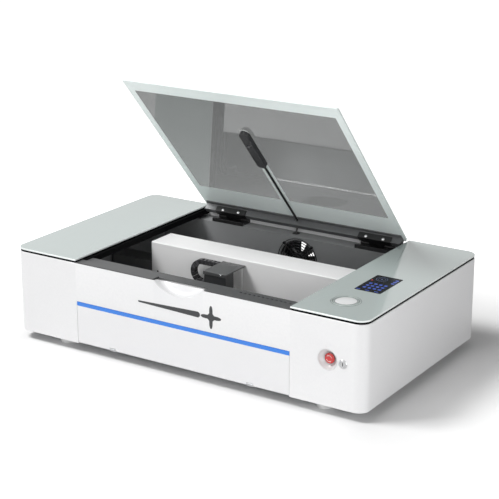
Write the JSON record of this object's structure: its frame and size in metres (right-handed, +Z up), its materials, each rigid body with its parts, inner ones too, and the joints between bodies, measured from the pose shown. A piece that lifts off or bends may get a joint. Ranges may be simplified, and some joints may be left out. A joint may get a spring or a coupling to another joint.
{
  "type": "desktop laser cutter",
  "caption": "Desktop laser cutter with a hinged glass lid, moving gantry and laser head over a honeycomb table, drop-down front flap, touch screen and rear exhaust collar.",
  "frame": {"origin": "on the ground under the middle of the whole machine, exhaust collar included", "axes": "+X to the machine's right seen from the front, +Y to the back, +Z up"},
  "size_m": [1.05, 0.651, 0.6887],
  "materials": {
    "case_white": "satin gloss white",
    "light_strip": "translucent blue",
    "floor_steel": "textured powder coat",
    "chamber_grey": "satin powder coat",
    "rail_dark": "satin powder coat",
    "frame_black": "fine matte",
    "foot_white": "matte",
    "deck_glass": "back-painted, polished",
    "lid_glass": "tinted, polished",
    "bar_metal": "anodised dark",
    "hinge_black": "satin black",
    "head_plastic": "fine texture",
    "lens_glass": "coated",
    "cable_rubber": "satin",
    "gantry_paint": "satin powder coat, light grey",
    "block_grey": "bead blasted dark",
    "rail_steel": "ground",
    "wheel_metal": "machined",
    "motor_black": "satin black",
    "tube_glass": "clear",
    "arm_metal": "anodised black",
    "nozzle_brass": "turned",
    "fan_black": "moulded",
    "guard_wire": "dark plated wire",
    "collar_grey": "moulded",
    "screen_black": "glossy",
    "button_white": "satin",
    "bowl_grey": "satin",
    "stop_red": "satin gloss",
    "key_chrome": "polished",
    "supply_metal": "perforated sheet",
    "board_green": "solder mask",
    "tank_plastic": "translucent moulded"
  },
  "bodies": {
    "case": {"side_covers": "case_white", "front_panel": "case_white", "rear_panel": "case_white", "bottom_pan": "floor_steel", "chamber_walls": "chamber_grey", "front_rail": "rail_dark", "table_frame": "rail_dark", "drive_brackets": "rail_dark", "top_frames": "frame_black", "feet": "foot_white", "side_glass_tops": "deck_glass", "lid_hinge_bases": "hinge_black", "camera_cable_stem": "cable_rubber", "y_belts": "cable_rubber", "y_rails": "rail_steel", "crumb_tray": "rail_steel", "honeycomb_table": "wheel_metal", "radiator": "wheel_metal", "y_motor": "motor_black", "fan_frame": "fan_black", "fan_guard": "guard_wire", "exhaust_collar": "collar_grey", "rear_sockets": "collar_grey", "touch_screen": "screen_black", "start_button_ring": "button_white", "stop_bowl": "bowl_grey", "key_bezel": "key_chrome", "power_supply": "supply_metal", "control_board": "board_green", "coolant_tank": "tank_plastic"},
    "lid": {"lid_glass": "lid_glass", "lid_hinge_bar": "bar_metal", "lid_hinge_leaves": "hinge_black", "camera_housing": "head_plastic", "camera_lens": "lens_glass", "camera_cable": "cable_rubber"},
    "gantry": {"gantry_cover": "gantry_paint", "gantry_beam": "block_grey", "mirror_block": "block_grey", "y_carriages": "rail_steel", "x_rail": "rail_steel", "x_belt": "cable_rubber", "x_motor": "motor_black", "laser_tube": "tube_glass"},
    "laser_head": {"head_cover": "head_plastic", "head_body": "head_plastic", "head_arm": "arm_metal", "cable_chain": "head_plastic"},
    "focus_tube": {"lens_tube": "nozzle_brass"},
    "flap": {"front_flap": "case_white", "flap_light_strip": "light_strip"},
    "start_dome": {"start_button": "button_white"},
    "stop_knob": {"stop_button": "stop_red"},
    "key": {"key_barrel": "key_chrome"},
    "rocker": {"power_rocker": "collar_grey"},
    "fan": {"fan_rotor": "fan_black"},
    "y_drive": {"y_drive_shaft": "rail_steel"},
    "y_idler_wheels": {"y_idlers": "wheel_metal"},
    "x_drive_wheel": {"x_pulley": "wheel_metal"},
    "x_idler_wheel": {"x_idler": "wheel_metal"}
  },
  "joints": [
    {"name": "lid_hinge", "type": "hinge", "parent": "case", "child": "lid", "pos_m": [0, 0.2745, 0.231], "axis": [1, 0, 0], "range_deg": [0, 48], "deforming": ["camera_cable_stem"]},
    {"name": "gantry_slide", "type": "slide", "parent": "case", "child": "gantry", "axis": [0, 1, 0], "range_m": [-0.14, 0.155]},
    {"name": "head_slide", "type": "slide", "parent": "gantry", "child": "laser_head", "axis": [1, 0, 0], "range_m": [-0.23, 0.25]},
    {"name": "focus_slide", "type": "slide", "parent": "laser_head", "child": "focus_tube", "axis": [0, 0, 1], "range_m": [-0.005, 0.006]},
    {"name": "flap_hinge", "type": "hinge", "parent": "case", "child": "flap", "pos_m": [0, -0.3205, 0.03], "axis": [1, 0, 0], "range_deg": [0, 90]},
    {"name": "start_press", "type": "slide", "parent": "case", "child": "start_dome", "axis": [0, 0, -1], "range_m": [0, 0.0025], "stiffness_N_per_m": 900, "springref_m": -0.001},
    {"name": "stop_press", "type": "slide", "parent": "case", "child": "stop_knob", "axis": [0, 1, 0], "range_m": [0, 0.0036], "stiffness_N_per_m": 1500, "springref_m": -0.001},
    {"name": "key_turn", "type": "hinge", "parent": "case", "child": "key", "pos_m": [0.4678, -0.3235, 0.14], "axis": [0, 1, 0], "range_deg": [0, 90]},
    {"name": "rocker_tilt", "type": "hinge", "parent": "case", "child": "rocker", "pos_m": [0.45, 0.2875, 0.086], "axis": [1, 0, 0], "range_deg": [-8, 8]},
    {"name": "fan_spin", "type": "hinge", "parent": "case", "child": "fan", "pos_m": [0.011, 0.2455, 0.158], "axis": [0, 1, 0], "continuous": true},
    {"name": "y_drive_spin", "type": "hinge", "parent": "case", "child": "y_drive", "pos_m": [0, 0.2095, 0.07], "axis": [1, 0, 0], "range_deg": [-1300, 1200]},
    {"name": "y_idler_spin", "type": "hinge", "parent": "case", "child": "y_idler_wheels", "pos_m": [0, -0.2885, 0.07], "axis": [1, 0, 0], "range_deg": [-1300, 1200]},
    {"name": "x_drive_spin", "type": "hinge", "parent": "gantry", "child": "x_drive_wheel", "pos_m": [0.3, -0.0045, 0.111], "axis": [0, 0, 1], "range_deg": [-1850, 2100]},
    {"name": "x_idler_spin", "type": "hinge", "parent": "gantry", "child": "x_idler_wheel", "pos_m": [-0.284, -0.0045, 0.111], "axis": [0, 0, 1], "range_deg": [-1850, 2100]}
  ],
  "couplings": [
    {"joint": "y_drive_spin", "follows": "gantry_slide", "rad_per_m": -134.23},
    {"joint": "y_idler_spin", "follows": "gantry_slide", "rad_per_m": -134.23},
    {"joint": "x_drive_spin", "follows": "head_slide", "rad_per_m": 134.23},
    {"joint": "x_idler_spin", "follows": "head_slide", "rad_per_m": 134.23}
  ]
}
